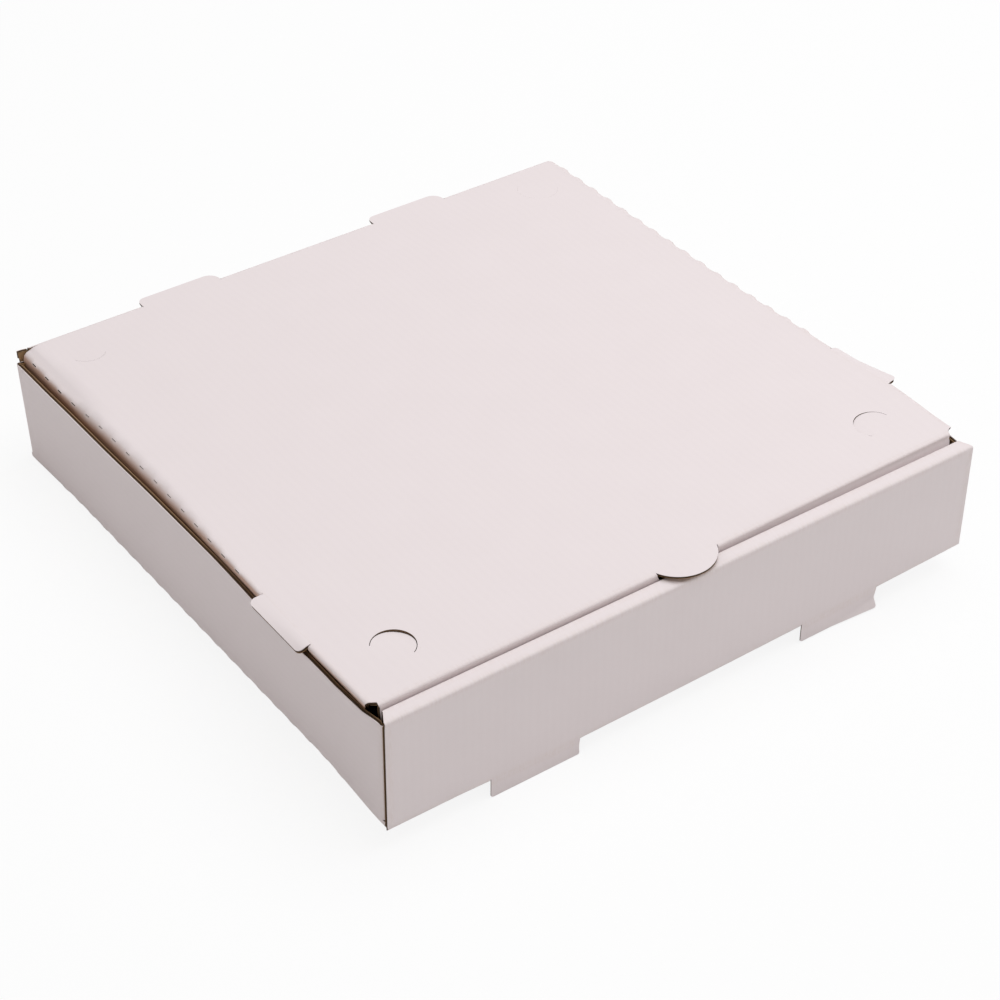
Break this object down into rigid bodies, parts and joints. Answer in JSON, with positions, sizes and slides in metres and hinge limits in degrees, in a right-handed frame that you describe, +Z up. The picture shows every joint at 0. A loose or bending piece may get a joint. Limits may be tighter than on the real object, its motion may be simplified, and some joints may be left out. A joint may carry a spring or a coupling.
{
  "type": "pizza box",
  "caption": "Shallow square take-away box folded from white-faced corrugated board, with a rolled-over front wall and a hinged lid that tucks in behind it.",
  "frame": {"origin": "middle of the underside of the tray's floor", "axes": "+Z up, front wall with the thumb tab towards -Y, hinge crease along X at the back"},
  "size_m": [0.2684, 0.2594, 0.0583],
  "materials": {
    "white_board": "matt white clay-coated liner outside, brown kraft liner inside and at cut edges"
  },
  "bodies": {
    "tray": {"tray": "white_board"},
    "lid": {"lid": "white_board"}
  },
  "joints": [
    {"name": "lid_hinge", "type": "hinge", "parent": "tray", "child": "lid", "pos_m": [0, 0.1272, 0.0477], "axis": [-1, 0, 0], "range_deg": [0, 190]}
  ]
}
